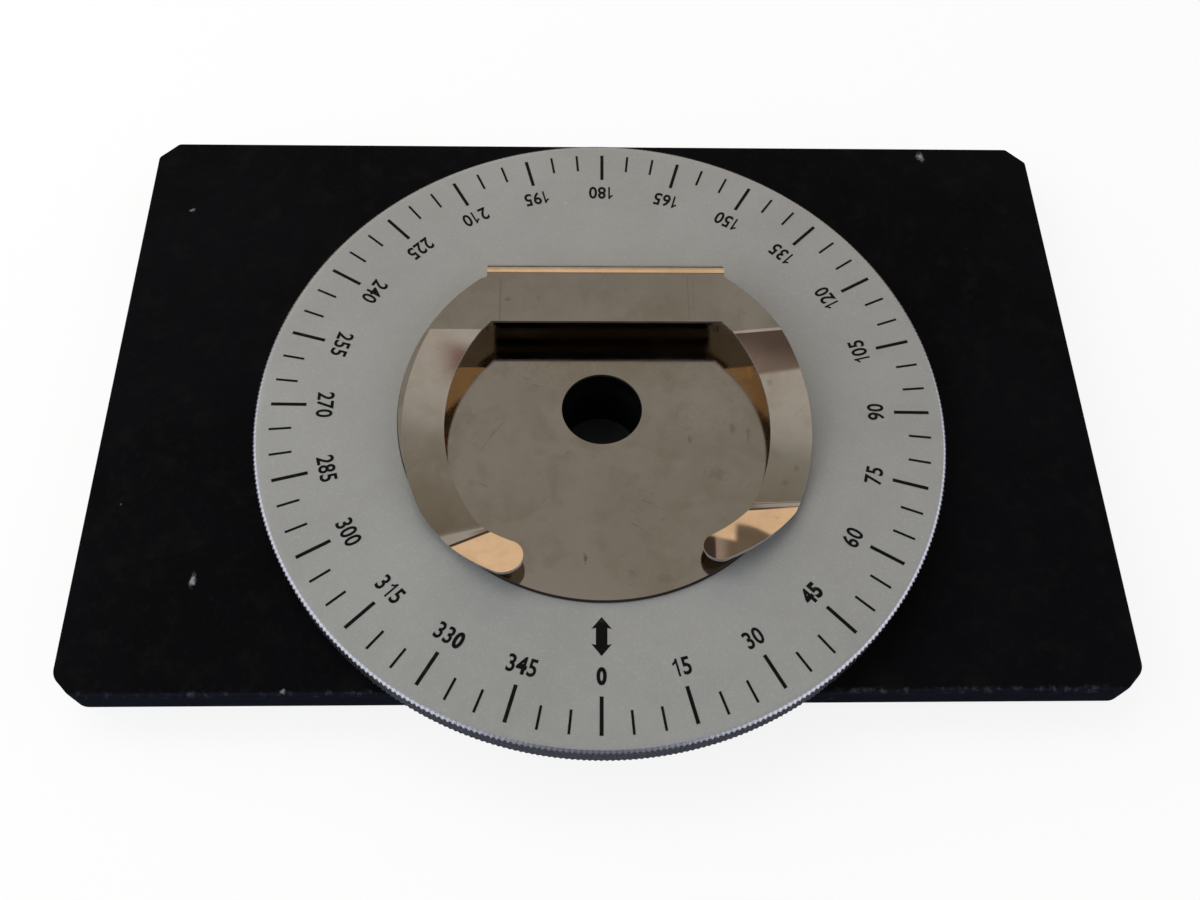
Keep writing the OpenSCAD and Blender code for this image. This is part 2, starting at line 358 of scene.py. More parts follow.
def cloud_of(spot, spread, sharpness):
    """The mask of handling marks on a piece."""
    return use(SMUDGE, Place=spot, Spread=spread, Sharpness=sharpness)["Mask"]


def dust_of(spot, grain, amount):
    """The mask of dust on a piece."""
    return use(DUST, Place=spot, Grain=grain, Amount=amount)["Mask"]


# Marks that are placed one by one. An oval is a stain with half its width and height; some on
# the disc are painted glints, highlight and shade instead. A press line runs from low_y to high_y.
# A crease, a line of painted shade, runs along a bend, and fades out between low_x and high_x
StainOrPaintedLight = namedtuple("StainOrPaintedLight", "x y wide high share colour")
PressLine = namedtuple("PressLine", "x low_y high_y wide depth")
Crease = namedtuple("Crease", "bend wide low_x high_x")

STAIN_BROWN = (0.33, 0.27, 0.20)
STAIN_DARK = (0.22, 0.19, 0.155)
STAIN_RUST = (0.44, 0.30, 0.27)
STAIN_OCHRE = (0.40, 0.28, 0.18)
SHADE_UNDER_BAR = (0.46, 0.39, 0.30)
SHADE_UNDER_BAR_WARM = (0.46, 0.38, 0.28)
PAINTED_HIGHLIGHT_PATCH = (0.70, 0.655, 0.58)
PAINTED_GLINT_GOLD = (0.95, 0.80, 0.42)
LINT_WHITE = (0.34, 0.35, 0.37)

PLATE_LINT = [
    StainOrPaintedLight(45.3, 43.1, 0.55, 0.85, 0.6, LINT_WHITE),
    StainOrPaintedLight(-46.4, -19.9, 0.4, 0.85, 0.7, LINT_WHITE),
    StainOrPaintedLight(-54.1, 33.0, 0.35, 0.28, 0.5, LINT_WHITE),
    StainOrPaintedLight(-34.8, -32.9, 0.35, 0.3, 0.5, LINT_WHITE),
    StainOrPaintedLight(30.4, -33.2, 0.3, 0.25, 0.1, LINT_WHITE),
]
DISC_STAINS_AND_PAINTED_LIGHT = [
    StainOrPaintedLight(-2.1, -19.5, 0.28, 0.7, 0.7, STAIN_DARK),
    StainOrPaintedLight(3.2, -21.3, 0.7, 0.9, 0.35, STAIN_BROWN),
    StainOrPaintedLight(6.9, -21.9, 1, 0.8, 0.3, STAIN_BROWN),
    StainOrPaintedLight(13.1, -9.0, 1.6, 1.1, 0.3, STAIN_DARK),
    StainOrPaintedLight(15.3, -2.9, 0.45, 0.8, 0.5, STAIN_DARK),
    StainOrPaintedLight(17.1, -3.8, 0.35, 0.9, 0.5, STAIN_DARK),
    StainOrPaintedLight(10.2, -4.5, 0.3, 0.5, 0.5, STAIN_DARK),
    # Painted glint at the light hole's edge
    StainOrPaintedLight(3.7, 2.1, 0.25, 0.3, 0.8, PAINTED_GLINT_GOLD),
    # Painted shade over the back of the disc, towards the leaf's bar
    StainOrPaintedLight(1.0, 6.0, 17.0, 4.5, 0.3, SHADE_UNDER_BAR),
    # Painted highlight: a lighter patch on the disc's right
    StainOrPaintedLight(13.0, 0.5, 4.5, 4.5, 0.4, PAINTED_HIGHLIGHT_PATCH),
    # Painted glare along the disc's right edge
    StainOrPaintedLight(17.9, 4.6, 0.25, 1.3, 0.5, PAINTED_GLINT_GOLD),
    # Painted shade, warmer, further back under the bar
    StainOrPaintedLight(0.5, 9.5, 15.0, 4.5, 0.4, SHADE_UNDER_BAR_WARM),
]
LEAF_STAINS = [
    StainOrPaintedLight(-11.1, 12.2, 0.5, 0.45, 0.45, STAIN_DARK),
    StainOrPaintedLight(19.6, 1.4, 0.4, 0.6, 0.35, STAIN_DARK),
    StainOrPaintedLight(22.1, -8.9, 0.35, 0.5, 0.4, STAIN_DARK),
    StainOrPaintedLight(20.8, -10.5, 0.7, 0.5, 0.3, STAIN_DARK),
    StainOrPaintedLight(-16.8, 4.3, 0.9, 1.6, 0.3, STAIN_RUST),
    StainOrPaintedLight(19.5, -15.0, 0.35, 0.3, 0.45, STAIN_OCHRE),
]
LEAF_PRESS_LINES = [
    PressLine(-12.1, 7.8, 15.2, 0.22, 0.6),
    PressLine(10.45, 9.2, 15.6, 0.15, 0.5),
    PressLine(11.1, 9.2, 15.6, 0.12, 0.35),
]
LEAF_CREASES = [
    Crease(LEFT_BENDS[3], 0.24, 0, 5),
    Crease(RIGHT_BENDS[3], 0.17, 17.5, 22.5),
]
# How far a crease reaches along X from its bend's point before it fades
CREASE_REACH = 10.0


def scratches(spot, turn, scale):
    """Short thin scratches that lie along one direction, in a few places."""
    turned = stretched(spot, (1, 1, 1), turn)
    lines = noise(stretched(turned, (scale, scale * 0.05, scale * 0.05)), 1.0, 1.0)
    line = step(size_of(minus(lines, 0.5)), 0.012, 0.003)
    few = step(noise(turned, 170.0, 3.0, 0.6), 0.56, 0.64)
    return times(line, few)


def press_line(spot, mark):
    """The mask of a shallow line that the bending tool left, from front to back."""
    x, y, _ = axes(spot)
    line = band(size_of(minus(x, mark.x * MM)), mark.wide, 0.0)
    front = band(y, mark.low_y - 0.3, mark.low_y + 0.3)
    back = band(y, mark.high_y + 0.3, mark.high_y - 0.3)
    return times(line, times(front, back))


def crease_line(spot, mark):
    """The mask of painted shade, a dark line that runs along a tight bend."""
    at, across = mark.bend.at, mark.bend.across
    past = vector_math("DOT_PRODUCT", spot, (*across, 0))
    aside = size_of(minus(past, at.dot(across) * MM))
    line = band(aside, mark.wide, mark.wide * 0.45)
    x, _, _ = axes(spot)
    from_bend = size_of(minus(x, at.x * MM))
    line = times(line, band(from_bend, CREASE_REACH + 2, CREASE_REACH))
    return times(line, band(x, mark.high_x, mark.low_x))


def stain_mask(spot, mark):
    """The mask of a soft oval mark with a ragged outline."""
    moved = vector_math("SUBTRACT", spot, (mark.x * MM, mark.y * MM, 0))
    flat = vector_math("MULTIPLY", moved, (1 / (mark.wide * MM), 1 / (mark.high * MM), 0))
    reach = vector_math("LENGTH", flat)
    ragged = math_node("MULTIPLY_ADD", noise(spot, 2200.0, 5.0, 0.7), 3.2, -1.6)
    return step(plus(reach, ragged), 1.15, 0.1)


def plate_finish():
    """Black anodised aluminium, satin, with settled dust, lint, a worn front edge and a painted bluish
    sheen on its front face.
    """
    dark, pale = (0.0026, 0.0027, 0.0032), (0.0036, 0.0038, 0.0048)
    sparkle, mottled = (0.006, 0.006, 0.0075), (0.0065, 0.0068, 0.0062)
    front_face_sheen, bare_metal = (0.0065, 0.0085, 0.0135), (0.05, 0.055, 0.066)
    dust_grey = (0.16, 0.165, 0.18)
    material, tree, shader = finish_of("black_anodised_plate", specular=0.02)
    spot = place(tree)
    _, y, z = axes(spot)
    grain = use(BLAST, Place=spot, Grain=2600.0)
    cloud = cloud_of(spot, spread=35.0, sharpness=0.2)
    base = mix(cloud, dark, pale)
    base = layer(base, grain["Sparkle"], 0.35, sparkle)
    # Painted sheen: the front face is bluer and a little lighter
    base = mix(band(y, PLATE_FRONT + 0.2, PLATE_FRONT - 0.2), base, front_face_sheen)
    mottle = step(noise(spot, 300.0, 6.0, 0.7), 0.48, 0.7)
    base = layer(base, mottle, 0.5, mottled)
    base = layer(base, dust_of(spot, grain=420.0, amount=0.35), 0.55, dust_grey)
    at_front = band(y, PLATE_FRONT + 0.5, PLATE_FRONT - 0.1)
    front_edge = times(at_front, band(z, PLATE_TOP - 0.8, PLATE_TOP - 0.3))
    worn = step(noise(spot, 900.0, 4.0, 0.7), 0.5, 0.72)
    base = layer(base, times(worn, front_edge), 0.7, bare_metal)
    on_top = band(z, PLATE_TOP - 0.4, PLATE_TOP - 0.1)
    for lint in PLATE_LINT:
        mask = times(stain_mask(spot, lint), on_top)
        base = layer(base, mask, lint.share, lint.colour)
    wire(shader, base, mix_value(cloud, 0.3, 0.38), grain["Height"], depth=0.00003)
    return material


def dial_finish():
    """Blasted and clear anodised aluminium, with a bright cut bevel and a darker knurl, and painted light:
    shade and highlight striping the bevel, a shadow round the clip's disc and shade in the black bore.
    """
    dark, pale = (0.300, 0.310, 0.298), (0.332, 0.343, 0.330)
    sparkle, speck = (0.62, 0.63, 0.65), (0.85, 0.86, 0.86)
    painted_shadow_brown, black = (0.05, 0.04, 0.033), (0.002, 0.002, 0.002)
    tooth_gap_shade, tooth_crest_highlight, knurled = (0.42, 0.425, 0.455), (0.55, 0.555, 0.595), (0.55, 0.55, 0.59)
    material, tree, shader = finish_of("blasted_aluminium_dial", specular=0.3)
    spot = place(tree)
    x, y, z = axes(spot)
    grain = use(BLAST, Place=spot, Grain=6500.0)
    flat = node_on("ShaderNodeCombineXYZ", {"X": x, "Y": y}).outputs[0]
    radius = vector_math("LENGTH", flat)
    bevel = band(radius, BEVEL_R - 0.05, BEVEL_R + 0.05)
    knurl = times(bevel, band(z, DIAL_TOP - 0.3, DIAL_TOP - 0.9))
    cloud = cloud_of(spot, spread=70.0, sharpness=0.22)
    base = mix(cloud, dark, pale)
    base = layer(base, grain["Sparkle"], 0.09, sparkle)
    base = layer(base, dust_of(spot, grain=1150.0, amount=0.035), 0.75, speck)
    # Painted shadow: a dark brown ring on the dial round the clip's disc, but not at the back
    from_disc = vector_math("LENGTH", vector_math("ADD", flat, (0, DISC_AHEAD * MM, 0)))
    painted_shadow = band(from_disc, DISC_R + 0.2, DISC_R + 0.1)
    base = mix(times(painted_shadow, band(y, 12, 4)), base, painted_shadow_brown)
    # The knurl runs out into the bevel as a row of teeth, painted there as stripes of shade and highlight,
    # a dark and a bright one to each tooth
    turn = math_node("ARCTAN2", y, x)
    wave = math_node("COSINE", math_node("MULTIPLY_ADD", turn, TEETH, -math.pi / 4))
    tooth = step(wave, -0.7, 0.5)
    base = mix(bevel, base, mix(tooth, tooth_gap_shade, tooth_crest_highlight))
    base = mix(knurl, base, knurled)
    # Painted shade: the bore is black, which keeps the light hole dark
    base = mix(band(radius, HUB_BORE + 0.1, HUB_BORE + 0.05), base, black)
    set_input(shader.inputs["Metallic"], mix_value(bevel, 0.22, 0.95))
    rough = mix_value(bevel, mix_value(cloud, 0.42, 0.5), 0.24)
    wire(shader, base, rough, grain["Height"], depth=0.00004, strength=0.6)
    return material


def clip_finish(name, clean, smudged, scored, stains_and_painted_light, press_lines=(), creases=()):
    """Nickel-plated spring sheet, nearly a mirror, smudged by handling.

    Clean and smudged are the roughness of its two states, and scored is the strength of
    its scratches.
    """
    bright, dull, mottled = (0.615, 0.57, 0.50), (0.535, 0.49, 0.42), (0.48, 0.425, 0.35)
    speck, scratch, pressed = (0.26, 0.22, 0.17), (0.27, 0.23, 0.18), (0.40, 0.35, 0.29)
    crease_shade, underside = (0.055, 0.03, 0.026), (0.40, 0.345, 0.28)
    material, tree, shader = finish_of(name, metallic=1.0)
    spot = place(tree)
    cloud = cloud_of(spot, spread=80.0, sharpness=0.16)
    grain = noise(stretched(spot, (900.0, 60.0, 60.0)), 1.0, 3.0, 0.6)
    base = mix(cloud, bright, dull)
    mottle = step(noise(spot, 240.0, 5.0, 0.62, 0.4), 0.46, 0.66)
    base = layer(base, mottle, 0.55, mottled)
    specks = dust_of(spot, grain=620.0, amount=1.1)
    base = layer(base, specks, 0.4, speck)
    long_ones = scratches(spot, turn=35.0, scale=1500.0)
    fine_ones = scratches(spot, turn=-62.0, scale=1900.0)
    base = layer(base, math_node("MAXIMUM", long_ones, fine_ones), scored, scratch)
    height = plus(noise(spot, 110.0, 1.0), times(grain, 0.01))
    for mark in press_lines:
        line = press_line(spot, mark)
        height = minus(height, times(line, mark.depth))
        base = layer(base, line, mark.depth, pressed)
    for mark in stains_and_painted_light:
        base = layer(base, stain_mask(spot, mark), mark.share, mark.colour)
    # Painted shade: a dark line along each tight bend
    for mark in creases:
        base = layer(base, crease_line(spot, mark), 0.86, crease_shade)
    # Painted shade: faces that look down are darker and browner
    _, _, facing_up = axes(add(tree, "ShaderNodeNewGeometry").outputs["True Normal"])
    base = mix(step(facing_up, -0.2, -0.6), base, underside)
    rough = plus(mix_value(cloud, clean, smudged), times(grain, 0.01))
    rough = plus(rough, times(specks, 0.12))
    wire(shader, base, rough, height, depth=0.00002)
    return material


def sheared_finish():
    """The cut edges of the spring sheet: dull, scored across by the shear, and brighter at the
    tips, a painted highlight."""
    material, tree, shader = finish_of("sheared_sheet_edge", metallic=1.0)
    spot = place(tree)
    _, y, _ = axes(spot)
    score = noise(stretched(spot, (2600.0, 2600.0, 300.0)), 1.0, 3.0, 0.6)
    cloud = cloud_of(spot, spread=200.0, sharpness=0.2)
    base = mix(cloud, (0.27, 0.245, 0.235), (0.37, 0.34, 0.325))
    # Painted highlight: the edges are lighter towards the tips at the front
    base = layer(base, band(y, -14.0, -17.5), 0.5, (0.62, 0.59, 0.58))
    wire(shader, base, mix_value(score, 0.3, 0.45), score, depth=0.00002, strength=0.6)
    return material


def ink_finish():
    """Pad-printed black ink, thin in places."""
    material, tree, shader = finish_of("printed_scale_ink", specular=0.12)
    thin = step(noise(place(tree), 1500.0, 3.0, 0.6), 0.55, 0.75)
    base = mix(thin, (0.003, 0.003, 0.0033), (0.014, 0.014, 0.0145))
    wire(shader, base, mix_value(thin, 0.45, 0.6))
    return material


def plain_finish(name, dark, pale, rough, metallic=0.0, depth=0.00002, specular=0.5):
    """A finish with a cloudy colour between two shades and a fine grain."""
    material, tree, shader = finish_of(name, metallic=metallic, specular=specular)
    spot = place(tree)
    cloud = cloud_of(spot, spread=140.0, sharpness=0.2)
    base = mix(cloud, dark, pale)
    rough = mix_value(cloud, rough, rough + 0.1)
    wire(shader, base, rough, noise(spot, 1800.0, 3.0), depth)
    return material


def bare_finish(name, colour, roughness):
    """A matt finish of one colour."""
    material, _, shader = finish_of(name)
    shader.inputs["Base Color"].default_value = (*colour, 1.0)
    shader.inputs["Roughness"].default_value = roughness
    return material


PLATE_BLACK = plate_finish()
DIAL_GREY = dial_finish()
DISC_NICKEL = clip_finish("nickel_sheet_disc", clean=0.05, smudged=0.13, scored=0.35, stains_and_painted_light=DISC_STAINS_AND_PAINTED_LIGHT)
LEAF_NICKEL = clip_finish(
    "nickel_spring_leaf",
    clean=0.004,
    smudged=0.02,
    scored=0.2,
    stains_and_painted_light=LEAF_STAINS,
    press_lines=LEAF_PRESS_LINES,
    creases=LEAF_CREASES,
)
SHEARED_EDGE = sheared_finish()
SCALE_INK = ink_finish()
# Painted shade: the disc's cut edge is dark brown
DISC_EDGE = plain_finish(
    "shaded_disc_edge", (0.035, 0.027, 0.022), (0.06, 0.046, 0.037), rough=0.45, metallic=0.3
)
HUB_BLACK = plain_finish(
    "black_turned_hub", (0.004, 0.004, 0.0045), (0.008, 0.008, 0.009), rough=0.38, specular=0.25
)
BUSH_PLASTIC = plain_finish(
    "bearing_plastic_ivory", (0.62, 0.6, 0.52), (0.7, 0.68, 0.6), rough=0.42, depth=0.00001
)
SPRING_STEEL = plain_finish(
    "spring_steel_blue_grey", (0.33, 0.34, 0.36), (0.42, 0.43, 0.45), rough=0.24, metallic=1.0
)
SCREW_STEEL = plain_finish(
    "screw_steel_black_oxide", (0.05, 0.05, 0.055), (0.085, 0.085, 0.09), rough=0.3, metallic=1.0
)
FILM = plain_finish("adhesive_film_amber", (0.5, 0.42, 0.26), (0.58, 0.5, 0.33), rough=0.35)


# Piece helpers


def mesh_of(name, bm):
    """A mesh from a bmesh, which is freed."""
    mesh = bpy.data.meshes.new(name)
    bm.to_mesh(mesh)
    bm.free()
    return mesh


def put(name, data):
    """A new object in the scene, at the origin."""
    obj = bpy.data.objects.new(name, data)
    bpy.context.scene.collection.objects.link(obj)
    return obj


def merge(bm, distance):
    """Makes one point of those that lie within a distance of each other."""
    bmesh.ops.remove_doubles(bm, verts=bm.verts[:], dist=distance)


def face_out(bm):
    """Turns the faces of a closed shape outwards."""
    bmesh.ops.recalc_face_normals(bm, faces=bm.faces[:])


def piece(name, bm, body, slot, replaces=(), finish=None, edge_finish=None, smooth=32.0, flat_faces=False):
    """Turns a bmesh in millimetres into a finished piece that rides on a body.

    With flat_faces, its broad faces stay flat in the light where small bevels join them.
    """
    bmesh.ops.scale(bm, vec=(MM, MM, MM), verts=bm.verts)
    mesh = mesh_of(name, bm)
    mesh.shade_smooth()
    mesh.set_sharp_from_angle(angle=math.radians(smooth))
    obj = put(name, mesh)
    mesh.materials.append(finish)
    if edge_finish is not None:
        mesh.materials.append(edge_finish)
    if flat_faces:
        weighted = obj.modifiers.new("broad_faces_flat", "WEIGHTED_NORMAL")
        weighted.keep_sharp = True
        weighted.weight = 100
    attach(obj, body)
    for node in replaces:
        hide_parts(node)
    return obj


def loop_of(bm, points):
    """A closed loop of edges through points. A flat point lies at height 0."""
    verts = [bm.verts.new((*p, 0.0)[:3]) for p in points]
    return [bm.edges.new((verts[i - 1], verts[i])) for i in range(len(verts))]


def arc(centre, radius, first, last, steps):
    """Points on an arc. The angles are in degrees from +X."""
    found = []
    for i in range(steps + 1):
        a = math.radians(first + (last - first) * i / steps)
        found.append(Vector((centre[0] + radius * math.cos(a), centre[1] + radius * math.sin(a))))
    return found


def spread(low, high, count):
    """Values from low to high at equal steps."""
    return [low + (high - low) * i / (count - 1) for i in range(count)]


def fill_outline(bm, edges):
    """Fills flat loops, holes included, with faces that look up."""
    bmesh.ops.triangle_fill(bm, use_beauty=True, edges=edges, normal=(0, 0, 1))
    for face in bm.faces:
        if face.normal.z < 0:
            face.normal_flip()


def turn_section(bm, points, angle, steps, closed):
    """Turns a section about the axis, through an angle in radians."""
    edges = loop_of(bm, points)
    bmesh.ops.spin(
        bm,
        geom=bm.verts[:] + edges,
        cent=(0, 0, 0),
        axis=(0, 0, 1),
        angle=angle,
        steps=steps,
        use_merge=closed,
    )


def cut_rows(bm, y, distances):
    """Cuts a flat shape across at several distances behind a line."""
    for distance in distances:
        bmesh.ops.bisect_plane(
            bm,
            geom=bm.verts[:] + bm.edges[:] + bm.faces[:],
            dist=0.0001,
            plane_co=(0, y + distance, 0),
            plane_no=(0, 1, 0),
        )


def make_sheet(bm):
    """Gives a bent mid-surface the sheet's thickness, half to each side, with dull cut edges."""
    bm.normal_update()
    for v in bm.verts:
        v.co -= v.normal * SHEET / 2
    one_side = set(bm.verts)
    bmesh.ops.solidify(bm, geom=bm.faces[:], thickness=-SHEET)
    face_out(bm)
    for face in bm.faces:
        sides = {v in one_side for v in face.verts}
        face.material_index = len(sides) - 1


def is_sharp(edge):
    """Whether an edge's two faces turn sharply there."""
    return len(edge.link_faces) == 2 and edge.calc_face_angle() > SHARP


def at_fold_top(edge):
    """Whether an edge lies where the clip's two packed halves meet, and is no edge in life."""
    return all(v.co.z > BAR_MID - 0.3 and abs(v.co.y - FOLD_Y) < 0.02 for v in edge.verts)


def ease_edges(bm, chosen, width, segments):
    """Bevels some edges and returns the new faces."""
    eased = bmesh.ops.bevel(
        bm,
        geom=chosen,
        offset=width,
        segments=segments,
        profile=0.5,
        affect="EDGES",
        material=-1,
        clamp_overlap=True,
    )
    return eased["faces"]


# Base plate


def make_plate():
    """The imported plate, its outer edges eased as they are after tumbling and anodising."""
    bm = bmesh.new()
    bm.from_mesh(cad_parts["base_plate"].data)
    bmesh.ops.scale(bm, vec=(1 / MM, 1 / MM, 1 / MM), verts=bm.verts)
    merge(bm, 2 * SAME)
    bmesh.ops.dissolve_limit(bm, angle_limit=math.radians(1), verts=bm.verts, edges=bm.edges)
    outer = [e for e in bm.edges if is_sharp(e) and all(v.co.xy.length > RECESS_R for v in e.verts)]
    ease_edges(bm, outer, PLATE_EASE, segments=3)
    piece("anodised_plate", bm, "base", "black_plate", ["base_plate"], PLATE_BLACK, flat_faces=True)


# Dial


def make_dial():
    """A turned disc whose straight knurl runs out through the rim's bevels."""
    section = [(HUB_BORE, DIAL_TOP), (40.0, DIAL_TOP)]
    section += [(radius, DIAL_TOP - depth) for radius, depth in RIM_BEVEL]
    section += [
        (RIM_CREST, DIAL_TOP - 0.8),
        (RIM_CREST, DIAL_FOOT + 1.4),
        (RIM_CREST, DIAL_FOOT + 0.9),
        (40.62, DIAL_FOOT + 0.55),
        (40.2, DIAL_FOOT),
        (SLEEVE, DIAL_FOOT),
        (SLEEVE, DIAL_FOOT + HUB_POCKET),
        (HUB_BORE, DIAL_FOOT + HUB_POCKET),
    ]
    # Four columns to a tooth: two on its crest and two at its root
    columns = TEETH * 4
    bm = bmesh.new()
    turn_section(bm, [(radius, 0, z) for radius, z in section], 2 * math.pi, columns, closed=True)
    merge(bm, SAME)
    for v in bm.verts:
        radius = v.co.xy.length
        if radius < RIM_ROOT - 0.02:
            continue
        column = round(math.atan2(v.co.y, v.co.x) / (2 * math.pi) * columns) % 4
        limit = RIM_CREST if column in (0, 1) else RIM_ROOT
        if radius > limit:
            v.co.x *= limit / radius
            v.co.y *= limit / radius
    face_out(bm)
    piece("graduated_dial", bm, "turntable", "dial_metal", ["dial"], DIAL_GREY, smooth=28.0)


# Spring clip


def make_clip_base():
    """The clip's lower disc and the tab that is folded up and over at its back."""
    left, right = FOLD_LEFT - NOTCH, FOLD_RIGHT + NOTCH
    first = math.degrees(math.atan2(math.sqrt(DISC_R**2 - left**2), left))
    last = 360 + math.degrees(math.atan2(math.sqrt(DISC_R**2 - right**2), right))
    fold_long = math.pi * FOLD_MID_R
    # The notches' floors lie a hair behind the fold's line, so that no two rows coincide
    floor = FOLD_Y + 0.001
    outline = arc((0, -DISC_AHEAD), DISC_R, first, last, steps=150)
    outline += [
        (right, floor),
        (FOLD_RIGHT, FOLD_Y),
        (FOLD_RIGHT, FOLD_Y + fold_long),
        (FOLD_LEFT, FOLD_Y + fold_long),
        (FOLD_LEFT, FOLD_Y),
        (left, floor),
    ]
    hole = arc((0, -DISC_AHEAD), HUB_BORE, 0, 360, steps=96)[:-1]
    bm = bmesh.new()
    fill_outline(bm, loop_of(bm, outline) + loop_of(bm, hole))
    cut_rows(bm, FOLD_Y, spread(0.002, fold_long - 0.03, FOLD_ROWS))
    for v in bm.verts:
        along = v.co.y - FOLD_Y
        v.co.z = DISC_FOOT + SHEET / 2
        if along > 0.0015 and FOLD_LEFT - 0.01 < v.co.x < FOLD_RIGHT + 0.01:
            a = along / FOLD_MID_R
            v.co.y = FOLD_Y + FOLD_MID_R * math.sin(a)
            v.co.z += FOLD_MID_R * (1 - math.cos(a))
    make_sheet(bm)
    edges = [e for e in bm.edges if is_sharp(e) and not at_fold_top(e)]
    for face in ease_edges(bm, edges, DISC_EASE, segments=2):
        face.material_index = 1
    # Points that all but touch beside the fold's first row would leave slivers
    merge(bm, 8 * SAME)
    bmesh.ops.dissolve_degenerate(bm, dist=SAME, edges=bm.edges[:])
    finishes = {"finish": DISC_NICKEL, "edge_finish": DISC_EDGE, "smooth": 25.0, "flat_faces": True}
    piece("clip_lower_disc", bm, "turntable", "clip_metal", ["clip_base"], **finishes)


def bowed(radius, bow, angle):
    """Distance from the leaf's centre to a circle whose centre lies a bow in front of it."""
    along = bow * math.cos(angle)
    return along + math.sqrt(radius**2 - bow**2 + along**2)


def arm_outer(angle):
    """Reach of an arm's outer edge, whose circle bulges a little to the front."""
    return bowed(LEAF_R + ARM_BOW / 4, ARM_BOW, angle)


def tip_reach(angle, tip, side):
    """Inner or outer reach of a tip's rounded end, at an angle from the front."""
    off_middle = angle - math.radians(tip.turn)
    off = tip.mid * math.sin(off_middle)
    return tip.mid * math.cos(off_middle) + side * math.sqrt(max(tip.radius**2 - off**2, 0.0))


def leaf_edges(angle):
    """Inner and outer reach of the leaf at an angle in radians from the front, positive to the right."""
    right = angle > 0
    tip = RIGHT_TIP if right else LEFT_TIP
    a = abs(angle)
    turn, narrow, narrow_out = (math.radians(d) for d in (tip.turn, tip.narrow, ARM_NARROW))
    up = -math.cos(a)
    outer = max(bowed(LEAF_R, 0, a), arm_outer(a))
    inner = bowed(WINDOW_R, WINDOW_BOW, a)
    if up > 0:
        fold_x = FOLD_RIGHT - LEAF_AT.x if right else LEAF_AT.x - FOLD_LEFT
        corner = fold_x / max(math.sin(a), 1e-6)
        if corner * up < BAR_Y - LEAF_AT.y:
            corner = 0.0
        outer = min(max(outer, corner), (FOLD_Y - LEAF_AT.y) / up)
        inner = min(inner, (BAR_Y - LEAF_AT.y) / up)
    if a < turn:
        return tip_reach(a, tip, -1), tip_reach(a, tip, 1)
    if a < narrow_out:
        end = tip.mid + tip.radius
        outer = end + (arm_outer(narrow_out) - end) * (a - turn) / (narrow_out - turn)
    if a < narrow:
        end = tip.mid - tip.radius
        start = bowed(WINDOW_R, WINDOW_BOW, narrow)
        inner = end + (start - end) * (a - turn) / (narrow - turn)
    return inner, outer


def leaf_height(x, y):
    """Height of the leaf's mid-surface: flat bar, sloping arms and turned-up tips."""
    height = BAR_MID
    for bend in RIGHT_BENDS if x > LEAF_AT.x else LEFT_BENDS:
        past = (x - bend.at.x) * bend.across.x + (y - bend.at.y) * bend.across.y
        if past > bend.soft:
            height += bend.change * past
        elif past > -bend.soft:
            height += bend.change * (past + bend.soft) ** 2 / (4 * bend.soft)
    return height


def bend_angle(bend, side, reach):
    """Angle from the front at which a bend's line lies at a reach from the leaf's centre."""
    off = (bend.at - LEAF_AT).dot(bend.across) / reach
    return math.atan2(bend.across.x, -bend.across.y) + side * math.acos(max(min(off, 1.0), -1.0))


# Bends that the leaf's rows run along: the bend, its side, its angle half way across the arm,
# and the angle over which it pulls the rows beside it
RowBend = namedtuple("RowBend", "bend side middle pulled")
ROW_BENDS = [
    RowBend(bend, side, bend_angle(bend, side, ARM_MID_R), math.radians(pulled))
    for bend, side, pulled in (
        (RIGHT_BENDS[1], 1, 7),
        (RIGHT_BENDS[3], 1, 10),
        (LEFT_BENDS[1], -1, 7),
        (LEFT_BENDS[3], -1, 7),
    )
]


def leaf_place(row, share, inset):
    """Place on the leaf, for a row's angle, the share of the way out, and the inset from the edge."""
    angle = row
    pulls = []
    for line in ROW_BENDS:
        off = abs(row - line.middle) / line.pulled
        if off < 1:
            pulls.append((1 - off * off * (3 - 2 * off), line))
    for _ in range(3 if pulls else 1):
        inner, outer = leaf_edges(angle)
        joined = share > 0.5 and -outer * math.cos(angle) > FOLD_Y - LEAF_AT.y - 0.01
        inset_here = 0.0 if joined else min(inset, max((outer - inner) / 2 - SAME, 0.0))
        reach = inner + inset_here + (outer - inner - 2 * inset_here) * share
        angle = row
        for pull, line in pulls:
            angle += pull * (bend_angle(line.bend, line.side, reach) - line.middle)
    return LEAF_AT.x + reach * math.sin(angle), LEAF_AT.y - reach * math.cos(angle), joined


# An angle that rows crowd round, how wide the crowd is, and how much closer its rows lie
Crowd = namedtuple("Crowd", "at wide strength")


def crowded(low, high, crowds, count):
    """Angles from low to high, closer together near some of them."""
    fine = spread(low, high, 6000)
    total = [0.0]
    for a in fine[1:]:
        extra = sum(c.strength * math.exp(-(((a - c.at) / c.wide) ** 2)) for c in crowds)
        total.append(total[-1] + 1 + extra)
    found = []
    i = 0
    for wanted in spread(0.0, total[-1], count):
        while i < len(total) - 2 and total[i + 1] < wanted:
            i += 1
        part = (wanted - total[i]) / (total[i + 1] - total[i])
        found.append(fine[i] + (fine[i + 1] - fine[i]) * min(part, 1.0))
    return found


def leaf_rows(count):
    """Angles of the leaf's rows, from its left tip round the back to its right tip."""
    left, right = (math.radians(t.turn) - math.asin(t.radius / t.mid) for t in (LEFT_TIP, RIGHT_TIP))
    full = 2 * math.pi
    crowds = [Crowd(-left, 0.03, 9.0), Crowd(right - full, 0.03, 9.0)]
    for line in ROW_BENDS:
        crowds.append(Crowd(line.middle - full if line.middle > 0 else line.middle, 0.02, 6.0))
    # Corners of the bar, at the window and at the fold
    for corner in (-142.8, -130.4, -229.6, -217.2):
        crowds.append(Crowd(math.radians(corner), 0.008, 8.0))
    return crowded(right - full, -left, crowds, count)[::-1]


